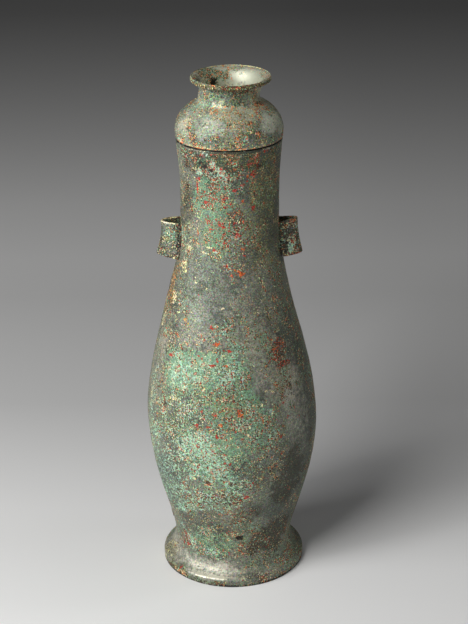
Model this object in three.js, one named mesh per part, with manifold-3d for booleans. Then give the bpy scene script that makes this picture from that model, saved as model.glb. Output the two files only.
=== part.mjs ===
// A tall bronze wine jar (hu) with two tubular lugs on its neck and a lift-off lid.
// Millimetres, +Z up. The origin is the centre of the circle that the foot stands on.
// The lugs lie along X. Two bodies: the jar (wall, floor, foot, lugs, spacers) and the lid.
import * as THREE from "three";
import { mergeVertices } from "three/addons/utils/BufferGeometryUtils.js";
import Module from "manifold-3d";

const wasm = await Module();
wasm.setup();

// Facets around the turned pieces, and the gap kept where one piece is cut to fit another.
const turnSteps = 48;
const fitGap = 0.3;

// Jar wall: the outer radius at a few heights, with the slope of the outline there.
const waistHeight = 35;
const waistRadius = 58.5;
const waistSlope = 0.15;
const lowerBellyHeight = 73;
const lowerBellyRadius = 68.7;
const lowerBellySlope = 0.29;
const bellyHeight = 160;
const bellyRadius = 83.5;
const shoulderHeight = 273;
const shoulderRadius = 63;
const shoulderSlope = -0.243;
const neckFootHeight = 365;
const neckFootRadius = 46.5;
const neckHeight = 397;
const neckRadius = 46.4;
const mouthHeight = 443.5;
const mouthRadius = 49.8;
const mouthSlope = 0.09;
const wallThickness = 3;
const wallSteps = 18;

// Floor: a plate across the waist, carried face to face between the foot and the wall.
const floorThickness = 3;

// Foot: a concave flare that turns over into a brim, above an upright lip.
const footRadius = 71;
const footLipHeight = 6.2;
const footLipThickness = 4.6;
const footWall = 3.2;
const brimWidth = 4.5;
const brimRise = 4.4;
const flareSteps = 8;
const brimSteps = 4;

// Lugs: an upright tube on each side of the neck, parabolic outside, wider at its lower end.
const lugTop = 362;
const lugHeight = 35.5;
const lugReach = 18.4;
const lugTopDepth = 26;
const lugBottomDepth = 35;
const lugWall = 2.2;
const lugRoot = 6;

// Lid: the dome, the sleeve (tenon) that drops into the mouth, and the flared crown on top.
const lidGap = 0.5;
const domeBulge = 0.5;
const domeSkirt = 7;
const domeRise = 27;
const domeEndAngle = 72;
const domeWall = 3;
const tenonClearance = 0.5;
const tenonWall = 2.4;
const tenonDepth = 14;
const crownHeight = 24;
const crownBaseRadius = 28.4;
const crownWall = 2.8;
const crownRimRadius = 37.1;
const crownRimThickness = 4.2;
const crownRimEdge = 1.2;
const crownStraight = 8;

// Bronze spacers that held the casting core apart: square plates left in the wall and floor.
const spacerSize = 7;
const wallSpacerCount = 4;
const wallSpacerHeight = 50;
const wallSpacerTurn = 5.6;
const floorSpacerCount = 3;
const floorSpacerCircle = 34;

const bronze = { color: 0x69736a, roughness: 0.6, metalness: 0.35 };

// Places that follow from the sizes above.
const floorBottom = waistHeight - floorThickness;
const lidBottom = mouthHeight + lidGap;
const domeSide = lidBottom + domeSkirt;
const domeTop = domeSide + domeRise;
const crownTop = domeTop + crownHeight;

const jarOutline = [
  [waistHeight, waistRadius, waistSlope],
  [lowerBellyHeight, lowerBellyRadius, lowerBellySlope],
  [bellyHeight, bellyRadius, 0],
  [shoulderHeight, shoulderRadius, shoulderSlope],
  [neckFootHeight, neckFootRadius, 0],
  [neckHeight, neckRadius, 0],
  [mouthHeight, mouthRadius, mouthSlope],
];

// Outer radius of the jar at a height: a smooth cubic between neighbouring stations.
function jarRadius(height) {
  const above = jarOutline.findIndex((station) => height < station[0]);
  const i = above < 0 ? jarOutline.length - 2 : Math.max(above - 1, 0);
  const [z0, r0, slope0] = jarOutline[i];
  const [z1, r1, slope1] = jarOutline[i + 1];
  const span = z1 - z0;
  const t = (height - z0) / span;
  const blend = t * t * (3 - 2 * t);
  const leave = t * (1 - t) * (1 - t);
  const arrive = t * t * (t - 1);
  return r0 + (r1 - r0) * blend + span * (slope0 * leave + slope1 * arrive);
}

const tenonRadius = jarRadius(lidBottom - tenonDepth) - wallThickness - tenonClearance;

function point(radius, height) {
  return new THREE.Vector2(radius, height);
}

// The jar's outline between two heights, moved inwards by an inset.
function jarProfile(from, to, steps, inset) {
  return Array.from({ length: steps + 1 }, (_, i) => {
    const height = from + ((to - from) * i) / steps;
    return point(jarRadius(height) - inset, height);
  });
}

// Points of an ellipse about a centre, from one angle to another in degrees.
function arc(centre, radiusX, radiusY, from, to, steps) {
  return Array.from({ length: steps + 1 }, (_, i) => {
    const angle = THREE.MathUtils.degToRad(from + ((to - from) * i) / steps);
    return point(centre.x + radiusX * Math.cos(angle), centre.y + radiusY * Math.sin(angle));
  });
}

function bezier(a, b, c, d, steps) {
  return new THREE.CubicBezierCurve(a, b, c, d).getPoints(steps);
}

// Keeps positions only, drops flat slivers and makes the faces point outwards.
function clean(geometry) {
  geometry.deleteAttribute("normal");
  geometry.deleteAttribute("uv");
  const merged = mergeVertices(geometry, 1e-4);
  const corners = Array.from(merged.index.array);
  const triangles = [];
  for (let i = 0; i < corners.length; i += 3) {
    const [a, b, c] = corners.slice(i, i + 3);
    if (a !== b && b !== c && a !== c) triangles.push([a, b, c]);
  }
  merged.setIndex(triangles.flat());
  if (volumeOf(merged) < 0) merged.setIndex(triangles.map(([a, b, c]) => [a, c, b]).flat());
  return merged;
}

function volumeOf(geometry) {
  const position = geometry.getAttribute("position");
  const corner = (i) => new THREE.Vector3().fromBufferAttribute(position, geometry.index.array[i]);
  let sum = 0;
  for (let i = 0; i < geometry.index.count; i += 3) {
    sum += corner(i).dot(corner(i + 1).cross(corner(i + 2))) / 6;
  }
  return sum;
}

// A solid turned about Z. Its profile starts and ends on the axis, or is closed here.
function turned(profile) {
  const closed = profile[0].x === 0 ? profile : [...profile, profile[0].clone()];
  const geometry = new THREE.LatheGeometry(closed, turnSteps);
  geometry.rotateX(Math.PI / 2);
  return clean(geometry);
}

function toSolid(geometry) {
  return new wasm.Manifold(
    new wasm.Mesh({
      numProp: 3,
      vertProperties: geometry.getAttribute("position").array,
      triVerts: new Uint32Array(geometry.index.array),
    }),
  );
}

function toGeometry(solid) {
  const mesh = solid.getMesh();
  const geometry = new THREE.BufferGeometry();
  geometry.setAttribute("position", new THREE.BufferAttribute(mesh.vertProperties, 3));
  geometry.setIndex(Array.from(mesh.triVerts));
  return geometry;
}

function piece(name, geometry) {
  const drawn = geometry.clone();
  drawn.computeVertexNormals();
  const mesh = new THREE.Mesh(drawn, new THREE.MeshStandardMaterial(bronze));
  mesh.name = name;
  return mesh;
}

// Wall: from the waist to the mouth, open at both ends.
function jarWall() {
  const outside = jarProfile(waistHeight, mouthHeight, wallSteps, 0);
  const inside = jarProfile(waistHeight, mouthHeight, wallSteps, wallThickness);
  return turned([...outside, ...inside.reverse()]);
}

function jarFloor() {
  return turned([
    point(0, floorBottom),
    point(waistRadius, floorBottom),
    point(waistRadius, waistHeight),
    point(0, waistHeight),
  ]);
}

function ringFoot() {
  const flareFall = floorBottom - footLipHeight;
  const brimStart = point(footRadius - brimWidth, footLipHeight + brimRise);
  const lipInside = footRadius - footLipThickness;
  const insideTop = waistRadius - footWall;
  const flare = bezier(
    point(waistRadius, floorBottom),
    point(waistRadius, floorBottom - flareFall * 0.5),
    point(brimStart.x - brimWidth, brimStart.y + brimRise * 0.7),
    brimStart,
    flareSteps,
  );
  const brim = bezier(
    brimStart,
    point(brimStart.x + brimWidth * 0.55, brimStart.y - brimRise * 0.4),
    point(footRadius, footLipHeight + brimRise * 0.5),
    point(footRadius, footLipHeight),
    brimSteps,
  );
  const underside = bezier(
    point(lipInside, footLipHeight),
    point(lipInside - brimWidth, footLipHeight + brimRise * 0.7),
    point(insideTop, floorBottom - flareFall * 0.6),
    point(insideTop, floorBottom),
    flareSteps,
  );
  return turned([...flare, ...brim.slice(1), point(footRadius, 0), point(lipInside, 0), ...underside]);
}

// A lug's section: a parabola that reaches outwards, carried back into the neck by its root.
function lugSection(reach, depth) {
  const shape = new THREE.Shape();
  shape.moveTo(-lugRoot, -depth / 2);
  shape.lineTo(0, -depth / 2);
  shape.quadraticCurveTo(2 * reach, 0, 0, depth / 2);
  shape.lineTo(-lugRoot, depth / 2);
  shape.closePath();
  return shape;
}

// That section drawn upwards: it follows the neck's outline and widens towards its lower end.
function lugTube(inset, over) {
  const height = lugHeight + 2 * over;
  const geometry = new THREE.ExtrudeGeometry(lugSection(lugReach - inset, lugTopDepth - 2 * inset), {
    depth: height,
    steps: 4,
    bevelEnabled: false,
    curveSegments: 14,
  });
  const position = geometry.getAttribute("position");
  for (let i = 0; i < position.count; i += 1) {
    const z = lugTop - lugHeight - over + position.getZ(i);
    const down = Math.max((lugTop - z) / lugHeight, 0);
    const halfDepth = lugTopDepth / 2 + ((lugBottomDepth - lugTopDepth) / 2) * down * down;
    const share = (halfDepth - inset) / (lugTopDepth / 2 - inset);
    position.setXYZ(i, position.getX(i) + jarRadius(z), position.getY(i) * share, z);
  }
  return toSolid(clean(geometry));
}

function lug(side) {
  const over = 2;
  const from = lugTop - lugHeight - over;
  const to = lugTop + over;
  const neck = turned([point(0, from), ...jarProfile(from, to, wallSteps, -fitGap), point(0, to)]);
  const solid = lugTube(0, 0).subtract(lugTube(lugWall, over)).subtract(toSolid(neck));
  const geometry = toGeometry(solid);
  if (side < 0) geometry.rotateZ(Math.PI);
  return geometry;
}

// Centre and half-widths of the ellipse that the dome's shoulder follows, to the crown's foot.
const domeEnd = THREE.MathUtils.degToRad(domeEndAngle);
const domeSideRadius = mouthRadius + domeBulge;
const domeReach = (domeSideRadius - crownBaseRadius) / (1 - Math.cos(domeEnd));
const domeTall = domeRise / Math.sin(domeEnd);
const domeCentre = point(domeSideRadius - domeReach, domeSide);

function lidDome() {
  const outside = arc(domeCentre, domeReach, domeTall, 0, domeEndAngle, 11);
  const inside = arc(domeCentre, domeReach - domeWall, domeTall - domeWall, domeEndAngle, 0, 9);
  const flangeInside = tenonRadius - tenonWall;
  return turned([
    point(0, inside[0].y),
    ...inside,
    point(flangeInside, lidBottom + domeWall),
    point(flangeInside, lidBottom),
    point(mouthRadius, lidBottom),
    ...outside,
    point(0, domeTop),
  ]);
}

function lidTenon() {
  return turned([
    point(tenonRadius - tenonWall, lidBottom - tenonDepth),
    point(tenonRadius, lidBottom - tenonDepth),
    point(tenonRadius, lidBottom),
    point(tenonRadius - tenonWall, lidBottom),
  ]);
}

// Crown: an upright ring that flares to a thick rim. The dome's top closes it below.
function lidCrown() {
  const flareStart = domeTop + crownStraight;
  const rimBottom = crownTop - crownRimThickness;
  const outerFlare = point(crownRimRadius, flareStart);
  const innerRadius = crownBaseRadius - crownWall;
  const lipRadius = crownRimRadius - crownRimEdge;
  const innerFlare = point(lipRadius, flareStart);
  const outside = arc(outerFlare, crownRimRadius - crownBaseRadius, rimBottom - flareStart, 180, 90, 7);
  const inside = arc(innerFlare, lipRadius - innerRadius, crownTop - flareStart, 90, 180, 7);
  return turned([
    point(crownBaseRadius, domeTop),
    ...outside,
    point(crownRimRadius, crownTop - crownRimEdge),
    ...inside,
    point(innerRadius, domeTop),
  ]);
}

// A square block that stands across the wall: a spacer before it is trimmed, or its hole.
function wallBlock(size, i) {
  const geometry = new THREE.BoxGeometry(size, 4 * wallThickness, size);
  geometry.translate(0, wallThickness / 2 - jarRadius(wallSpacerHeight), wallSpacerHeight);
  geometry.rotateZ(THREE.MathUtils.degToRad(wallSpacerTurn + (360 * i) / wallSpacerCount));
  return toSolid(clean(geometry));
}

function floorBlock(size, thickness, i) {
  const angle = (2 * Math.PI * (i + 0.5)) / floorSpacerCount;
  const geometry = new THREE.BoxGeometry(size, size, thickness);
  geometry.translate(floorSpacerCircle, 0, waistHeight - floorThickness / 2);
  geometry.rotateZ(angle);
  return toSolid(clean(geometry));
}

const wallSolid = toSolid(jarWall());
const wallHoles = [];
const spacers = [];
for (let i = 0; i < wallSpacerCount; i += 1) {
  wallHoles.push(wallBlock(spacerSize + 2 * fitGap, i));
  spacers.push([`wall_spacer_${i + 1}`, wallBlock(spacerSize, i).intersect(wallSolid)]);
}

const floorHoles = [];
for (let i = 0; i < floorSpacerCount; i += 1) {
  floorHoles.push(floorBlock(spacerSize + 2 * fitGap, 4 * floorThickness, i));
  spacers.push([`floor_spacer_${i + 1}`, floorBlock(spacerSize, floorThickness, i)]);
}

function without(solid, holes) {
  return holes.reduce((rest, hole) => rest.subtract(hole), solid);
}

const jar = new THREE.Group();
jar.add(piece("jar_wall", toGeometry(without(wallSolid, wallHoles))));
jar.add(piece("jar_floor", toGeometry(without(toSolid(jarFloor()), floorHoles))));
jar.add(piece("ring_foot", ringFoot()));
jar.add(piece("right_lug", lug(1)));
jar.add(piece("left_lug", lug(-1)));
for (const [name, solid] of spacers) jar.add(piece(name, toGeometry(solid)));

const lid = new THREE.Group();
lid.add(piece("lid_dome", lidDome()));
lid.add(piece("lid_tenon", lidTenon()));
lid.add(piece("lid_crown", lidCrown()));

const wineJar = new THREE.Group();
wineJar.add(jar, lid);

export default wineJar;
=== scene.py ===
import math
import bpy
from mathutils import Matrix, Vector


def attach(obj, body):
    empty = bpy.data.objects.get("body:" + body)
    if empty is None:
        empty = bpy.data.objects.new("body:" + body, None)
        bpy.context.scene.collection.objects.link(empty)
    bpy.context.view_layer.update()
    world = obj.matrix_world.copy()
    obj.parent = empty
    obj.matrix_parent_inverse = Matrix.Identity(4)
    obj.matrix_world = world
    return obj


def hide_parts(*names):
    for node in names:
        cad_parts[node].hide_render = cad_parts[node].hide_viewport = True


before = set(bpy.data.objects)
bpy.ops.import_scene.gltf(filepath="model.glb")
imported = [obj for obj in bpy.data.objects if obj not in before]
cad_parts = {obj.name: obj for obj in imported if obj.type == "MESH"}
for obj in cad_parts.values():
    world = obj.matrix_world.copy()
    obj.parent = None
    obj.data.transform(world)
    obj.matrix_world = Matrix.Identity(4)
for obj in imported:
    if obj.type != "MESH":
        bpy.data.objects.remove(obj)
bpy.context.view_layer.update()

mm = 0.001
faceStep = 9.0    # between the rings of a flat face
axisGap = 2.0     # the ring that closes it on the axis
roundAngle = 35   # degrees below which an edge is shaded smooth: on the turned skins
crispAngle = 50   # and on the small pieces


# Modelling helpers, all on the object that is being edited
def deselectAll():
    if bpy.context.mode != "OBJECT":
        bpy.ops.object.mode_set(mode="OBJECT")
    bpy.ops.object.select_all(action="DESELECT")


def editAll():
    bpy.ops.object.mode_set(mode="EDIT")
    bpy.ops.mesh.select_all(action="SELECT")


def leaveEdit(turnOutwards=False):
    if turnOutwards:
        bpy.ops.mesh.select_all(action="SELECT")
        bpy.ops.mesh.normals_make_consistent(inside=False)
    bpy.ops.object.mode_set(mode="OBJECT")


def applyPlace():
    bpy.ops.object.transform_apply(location=True, rotation=True, scale=True)


def makeActive(piece):
    deselectAll()
    bpy.context.view_layer.objects.active = piece
    piece.select_set(True)


def evenly(start, end, steps):
    return [start + (end - start) * i / steps for i in range(steps + 1)]


def bezier(a, b, c, d, steps):
    points = []
    for t in evenly(0, 1, steps):
        weights = ((1 - t) ** 3, 3 * t * (1 - t) ** 2, 3 * t * t * (1 - t), t ** 3)
        points.append(tuple(sum(w * p[k] for w, p in zip(weights, (a, b, c, d))) for k in (0, 1)))
    return points


def arc(centre, radiusX, radiusY, start, end, steps):
    angles = [math.radians(a) for a in evenly(start, end, steps)]
    return [(centre[0] + radiusX * math.cos(a), centre[1] + radiusY * math.sin(a)) for a in angles]


def flatFace(radius, height):
    # rings from near the edge of a flat face to near the axis
    return [(radius - faceStep * i, height) for i in range(1, 6)] + [(axisGap, height)]


def placed(profile, radius, height):
    # a short profile, given as steps out and up, where it belongs
    return [(radius + out, height + up) for out, up in profile]


def startRing(name, point, corners):
    deselectAll()
    bpy.ops.mesh.primitive_circle_add(vertices=corners, radius=point[0] * mm, location=(0, 0, point[1] * mm))
    piece = bpy.context.object
    piece.name = name
    applyPlace()
    return piece


def growRings(points):
    # extrudes the selected ring through a list of (radius, height), in edit mode
    for before, after in zip(points, points[1:]):
        bpy.ops.mesh.extrude_edges_move(TRANSFORM_OT_translate={"value": (0, 0, (after[1] - before[1]) * mm)})
        scale = after[0] / before[0]
        bpy.ops.transform.resize(value=(scale, scale, 1), center_override=(0, 0, 0))


def selectWhere(piece, test):
    bpy.ops.object.mode_set(mode="EDIT")
    bpy.ops.mesh.select_mode(type="VERT")
    bpy.ops.mesh.select_all(action="DESELECT")
    bpy.ops.object.mode_set(mode="OBJECT")
    for vertex in piece.data.vertices:
        vertex.select = test(vertex.co / mm)
    bpy.ops.object.mode_set(mode="EDIT")


def turnPiece(name, upwards, inwards, corners):
    # both lists start on the same ring, and each ends close to the axis
    piece = startRing(name, upwards[0], corners)
    editAll()
    growRings(upwards)
    bpy.ops.mesh.merge(type="CENTER")
    radius, height = upwards[0]
    selectWhere(piece, lambda p: abs(p.z - height) < 0.01 and abs(math.hypot(p.x, p.y) - radius) < 0.05)
    growRings(inwards)
    bpy.ops.mesh.merge(type="CENTER")
    leaveEdit(turnOutwards=True)
    return piece


def applyAll(piece):
    makeActive(piece)
    for modifier in list(piece.modifiers):
        bpy.ops.object.modifier_apply(modifier=modifier.name)


def unevenCasting(piece, size, depth, group=None):
    # pushes the skin in and out by half the depth
    texture = bpy.data.textures.new(f"{piece.name}Casting{size}", "CLOUDS")
    texture.noise_scale = size * mm
    texture.noise_depth = 2
    modifier = piece.modifiers.new("casting", "DISPLACE")
    modifier.texture = texture
    modifier.texture_coords = "LOCAL"
    modifier.mid_level = 0.5
    modifier.strength = depth * mm
    if group:
        modifier.vertex_group = group


def weighted(piece, name, weightAt):
    group = piece.vertex_groups.new(name=name)
    for vertex in piece.data.vertices:
        group.add([vertex.index], max(0.0, min(1.0, weightAt(vertex.co / mm))), "REPLACE")
    return name


def cutBlock(piece, centre, size, turn):
    # cuts a square block, turned about Z, out of the piece
    deselectAll()
    bpy.ops.mesh.primitive_cube_add(size=1, location=[v * mm for v in centre], rotation=(0, 0, turn))
    block = bpy.context.object
    block.scale = [v * mm for v in size]
    applyPlace()
    cut = piece.modifiers.new("cut", "BOOLEAN")
    cut.operation = "DIFFERENCE"
    cut.solver = "EXACT"
    cut.object = block
    makeActive(piece)
    bpy.ops.object.modifier_apply(modifier="cut")
    deselectAll()
    block.select_set(True)
    bpy.ops.object.delete()


def smooth(piece, angle):
    makeActive(piece)
    bpy.ops.object.shade_smooth_by_angle(angle=math.radians(angle))


# Shader maths: + - * on a wire add their Math nodes
class Wire:
    def __init__(self, shader, socket):
        self.shader = shader
        self.socket = socket

    def calculate(self, operation, *others):
        return self.shader.add("ShaderNodeMath", {"operation": operation}, dict(enumerate((self, *others))))

    def __add__(self, other):
        return self.calculate("ADD", other)

    def __sub__(self, other):
        return self.calculate("SUBTRACT", other)

    def __mul__(self, other):
        return self.calculate("MULTIPLY", other)

    def __rsub__(self, other):
        return (self * -1) + other

    __radd__ = __add__
    __rmul__ = __mul__


class Shader:
    def __init__(self, name):
        self.material = bpy.data.materials.new(name)
        self.material.use_nodes = True
        self.tree = self.material.node_tree
        self.tree.nodes.clear()

    def add(self, kind, settings=None, sockets=None, output=0):
        node = self.tree.nodes.new(kind)
        for key, value in (settings or {}).items():
            if key == "stops":
                ramp = node.color_ramp
                for i, (position, shade) in enumerate(value):
                    stop = ramp.elements[i] if i < len(ramp.elements) else ramp.elements.new(position)
                    stop.position = position
                    stop.color = shade
            else:
                setattr(node, key, value)
        for key, value in (sockets or {}).items():
            if isinstance(value, Wire):
                self.tree.links.new(value.socket, node.inputs[key])
            else:
                node.inputs[key].default_value = value
        return Wire(self, node.outputs[output]) if len(node.outputs) else None

    def fade(self, value, low, high, start=0.0, end=1.0):
        # smooth steps need no clamp, and Cycles' stack has no room for hundreds of clamps
        return self.add("ShaderNodeMapRange", {"interpolation_type": "SMOOTHSTEP", "clamp": False},
                        {"Value": value, "From Min": low, "From Max": high, "To Min": start, "To Max": end})

    def blend(self, factor, under, over, kind="MIX"):
        return self.add("ShaderNodeMix", {"data_type": "RGBA", "blend_type": kind},
                        {"Factor": factor, 6: under, 7: over}, output=2)


def colour(text):
    # a screen colour such as "6a7368" as linear values
    channels = [int(text[i:i + 2], 16) / 255 for i in (0, 2, 4)]
    return (*[c / 12.92 if c <= 0.04045 else ((c + 0.055) / 1.055) ** 2.4 for c in channels], 1)


noiseSpread = 0.135   # how far one octave of Blender's noise strays from its middle
grainRange = 3.8      # the span of a grain from no cover to full cover


class Patina(Shader):
    def __init__(self, name):
        super().__init__(name)
        place = self.add("ShaderNodeTexCoord", output="Object")
        self.place = self.add("ShaderNodeVectorMath", {"operation": "SCALE"}, {0: place, "Scale": 1000.0})
        self.frayed = self.warped(self.place, 2.5, 5)               # ragged edges for the small marks
        self.bent = self.warped(self.warped(self.place, 15, 26), 4, 14)   # and for the large ones

    def warped(self, at, size, reach):
        swirl = self.add("ShaderNodeTexNoise", {}, {"Vector": at, "Scale": 1 / size, "Detail": 3.0}, output="Color")
        moved = self.add("ShaderNodeVectorMath", {"operation": "MULTIPLY_ADD"},
                         {0: swirl, 1: (reach, reach, reach), 2: at})
        return self.add("ShaderNodeVectorMath", {"operation": "SUBTRACT"}, {0: moved, 1: (reach / 2,) * 3})

    def grain(self, size, detail, roughness, shift):
        # noise in units of its own spread: 0 in the middle, nearly all between -2 and 2
        at = self.add("ShaderNodeMapping", {}, {"Vector": self.place, "Location": (shift, shift * 0.7, shift * 1.3)})
        noise = self.add("ShaderNodeTexNoise", {}, {"Vector": at, "Scale": 1 / size, "Detail": float(detail),
                                                    "Roughness": roughness})
        parts = [roughness ** i for i in range(detail + 1)]
        spread = noiseSpread * math.sqrt(sum(v * v for v in parts)) / sum(parts)
        return (noise - 0.5) * (1 / spread)

    def cover(self, level, marks):
        # the share that a corrosion takes, or a painted shade or highlight: marks are x, y, z, half-width,
        # half-height, share, in millimetres
        for x, y, z, across, upright, share in marks:
            small = min(across, upright)
            at = self.bent if small > 5 else self.frayed if small > 1.1 else self.place   # thin lines stay straight
            scaled = self.add("ShaderNodeVectorMath", {"operation": "MULTIPLY_ADD"},
                              {0: at, 1: (1 / across, 1 / across, 1 / upright),
                               2: (-x / across, -y / across, -z / upright)})
            away = self.add("ShaderNodeVectorMath", {"operation": "LENGTH"}, {0: scaled}, output="Value")
            level = self.fade(away, 1.35, 0.55, 0.0, share) + level
        return level

    def flecks(self, grain, cover):
        # where the grain stands high enough for that share of the surface
        return self.fade(grain + cover * grainRange, grainRange / 2 - 0.2, grainRange / 2 + 0.2)

    def finish(self, baseColour, roughness, metallic, height, bumpDistance):
        normal = self.add("ShaderNodeBump", {}, {"Strength": 1.0, "Distance": bumpDistance * mm, "Height": height})
        surface = self.add("ShaderNodeBsdfPrincipled", {}, {"Base Color": baseColour, "Roughness": roughness,
                                                          "Metallic": metallic, "Normal": normal})
        self.add("ShaderNodeOutputMaterial", {}, {"Surface": surface})
        return self.material


patinaColours = {
    "metalDark": "5b6157",
    "metalPale": "7f8576",
    "metalBright": "d3cfbd",
    "grimeAndShade": "37372b",
    "deepGreen": "30503c",
    "green": "72987a",
    "mint": "a8cfb3",
    "olive": "8b8655",
    "brownAndShade": "3b2912",
    "creamAndHighlight": "ebe3b0",
    "tan": "cf9b57",
    "orange": "d5682d",
    "red": "b53122",
    "blackAndShadow": "0e0d09",
}

# How much of each corrosion lies on bare bronze before the marks of one piece are added,
# and how far that share drifts over 30 mm and over 8 mm
plainCover = {
    "grimeAndShade": (-0.05, 0.12, 0.06), "green": (0.22, 0.15, 0.0), "deepGreen": (0.18, 0.1, 0.0),
    "mint": (0.02, 0.1, 0.05), "olive": (0.16, 0.06, 0.08), "brownAndShade": (0.1, 0.1, 0.12), "creamAndHighlight": (-0.01, -0.05, 0.1),
    "tan": (-0.1, -0.02, 0.07), "orange": (-0.03, 0.04, 0.1), "red": (0.0, 0.05, 0.12),
    "blackAndShadow": (0.06, 0.05, 0.08), "vein": (-0.1, 0.12, 0.08),
}

flecks = {   # size in mm, how fully each hides what it lies on, and how much it gathers on the green film
    "olive": (1.4, 0.7, 0.08), "brownAndShade": (1.5, 0.9, 0.16), "mint": (1.5, 0.8, 0.04), "creamAndHighlight": (1.4, 0.95, 0.04),
    "tan": (1.6, 0.85, 0.03), "orange": (1.5, 0.92, 0.05), "red": (1.4, 0.95, 0.06), "blackAndShadow": (1.3, 0.95, 0.05),
}


# Soft layers: how much of the near and of the close grain is in each, and where it starts and is full
layers = {
    "film": (0.75, 0.45, 0.9, 2.1), "deepGreen": (0.6, 0.5, 0.8, 2.2), "mint": (0.5, 0.6, 0.9, 2.5),
    "grimeAndShade": (0.4, 0.5, 0.6, 2.6),
}


def bronzePatina(name, marks, cover=None, shades=None, polish=0.0, grit=1.45, dull=0.0):
    # semi-bright grey bronze, a soft film of green over it, then small crisp flecks of every other corrosion; some
    # marks also paint shade and highlights into these colours
    p = Patina(name)
    tone = {key: colour(value) for key, value in {**patinaColours, **(shades or {})}.items()}
    wide = p.grain(30, 3, 0.6, shift=50)
    near = p.grain(8, 4, 0.65, shift=29)
    close = p.grain(3.2, 3, 0.65, shift=19)
    fine = p.grain(1.3, 1, 0.5, shift=9)
    bare = p.cover(0.0, marks.get("bare", ()))
    wearAndHighlight = p.cover(polish, marks.get("wearAndHighlight", ()))
    calm = 1 - wearAndHighlight * 0.7
    share = {}
    for key, (plain, wideDrift, nearDrift) in plainCover.items():
        level = wide * wideDrift + near * nearDrift + (cover or {}).get(key, plain)
        share[key] = p.cover(level, marks.get(key, ())) - (bare if key != "grimeAndShade" else 0.0)
    clouds = p.fade(p.grain(55, 2, 0.5, shift=3), -1.2, 1.2)
    base = p.blend(clouds, tone["metalDark"], tone["metalPale"])
    # lighter towards metalBright where the worn share is high: rubbed metal, and also painted highlights where marks
    # follow the lamps' reflections
    base = p.blend(p.fade(close * 0.16 + near * 0.16 + wearAndHighlight * 2.4, 0.0, 2.6), base, tone["metalBright"])

    def layer(key, amount):
        nearPart, closePart, low, high = layers[key]
        return p.fade(near * nearPart + close * closePart + amount * grainRange, low, high)

    film = layer("film", share["green"] + fine * (0.3 / grainRange))
    quiet = calm - p.fade(share["green"], 0.7, 1.2) * 0.35   # a thick film is evener
    filmColour = p.blend(layer("deepGreen", share["deepGreen"]), tone["green"], tone["deepGreen"])
    filmColour = p.blend(layer("mint", share["mint"]), filmColour, tone["mint"])
    base = p.blend(film * 0.92, base, filmColour)
    # darker towards the grime colour where its share is high: grime, and also painted shade where marks put it in the
    # gap under the lid, at the lug joints and on the side away from the lamps
    grimeAndShade = layer("grimeAndShade", share["grimeAndShade"])
    base = p.blend(grimeAndShade * 0.8, base, tone["grimeAndShade"])
    dots = {}
    stands = {}   # the same flecks at an even share, for the relief: Cycles copies all that feeds a bump
    patchy = film - 0.45
    for i, (key, (size, strength, gather)) in enumerate(flecks.items()):
        grain = p.grain(size, 1, 0.6, shift=57 + 11 * i)
        dots[key] = p.flecks(grain, patchy * gather + share[key])
        stands[key] = p.flecks(grain, 0.1)
        base = p.blend(dots[key] * strength, base, tone[key])
    strand = p.grain(4.2, 1, 0.5, shift=141).calculate("ABSOLUTE")   # thin where the grain passes zero
    vein = p.fade(strand, 0.6, 0.2) * p.fade(share["vein"], 0.0, 0.3)
    base = p.blend(vein * 0.85, base, tone["mint"])
    motes = p.add("ShaderNodeTexNoise", {}, {"Vector": p.place, "Scale": 1 / 1.3, "Detail": 1.0}, output="Color")
    motes = p.add("ShaderNodeVectorMath", {"operation": "MULTIPLY_ADD"},
                  {0: motes, 1: (grit,) * 3, 2: (1 - grit / 2,) * 3})
    base = p.blend(quiet, base, motes, "MULTIPLY")
    base = p.blend(quiet, base, p.fade(fine + close * 0.4, -2.0, 2.0, 0.62, 1.38), "MULTIPLY")
    crust = film * 0.6 + grimeAndShade * 0.8 + (dots["mint"] + dots["brownAndShade"] + dots["creamAndHighlight"]) * 0.4
    rough = crust.calculate("MINIMUM", 1.0) * calm
    roughness = rough * 0.22 + p.fade(close, -2, 2) * 0.08 + (0.46 + dull - wearAndHighlight * 0.04)
    metallic = (1 - rough) * 0.55
    relief = (close * 0.05 + fine * 0.03 + film * 0.1 + stands["mint"] * 0.15 + stands["creamAndHighlight"] * 0.2
              - stands["brownAndShade"] * 0.2 - stands["blackAndShadow"] * 0.4 - stands["red"] * 0.15)
    return p.finish(base, roughness, metallic, relief * calm, 0.5)


def setMaterial(piece, material):
    piece.data.materials.clear()
    piece.data.materials.append(material)


# Jar: one closed skin from the foot's lip, up over the mouth and down inside to the floor
jarShape = {
    "outline": [   # height, outer radius, slope of the outline
        (35, 58.5, 0.15), (73, 68.7, 0.29), (160, 83.5, 0), (273, 63, -0.243),
        (365, 46.5, 0), (397, 46.4, 0), (443.5, 49.8, 0.09),
    ],
    "lean": [(0, 0), (25, 0), (60, 0.5), (120, 0.8), (190, -0.4), (280, -1.6), (345, -0.3), (400, 0), (444, 0)],
    "corners": 192,
    "wall": 3.0,
    "floorTop": 35.0,
    "floorBottom": 32.0,
    "mouthRound": 0.8,
    "mouthEdge": (1.7, 2.1),   # how far the outer edge is rounded inwards and downwards
    "bodyRings": 118,
    "footRings": 12,
    "insideRings": 48,
    "footRadius": 71.0,
    "lipHeight": 6.2,
    "lipThickness": 4.6,
    "brimWidth": 4.5,
    "brimRise": 4.4,
    "footWall": 3.2,
    "lipEdge": [(-0.4, 0), (0, 0.4), (0, 1.8), (0, 3.5)],   # millimetres out and up
    "lipInside": [(0.4, 0), (0, 0.4)],
    "wideCasting": (38, 1.0),   # size and depth of the unevenness
    "fineCasting": (9, 0.4),
    "spacerHole": 7.6,
    "spacerCut": 12.0,
    "spacerHeight": 50.0,
    "spacerTurn": 5.6,
    "floorSpacerCircle": 34.0,
}

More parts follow.
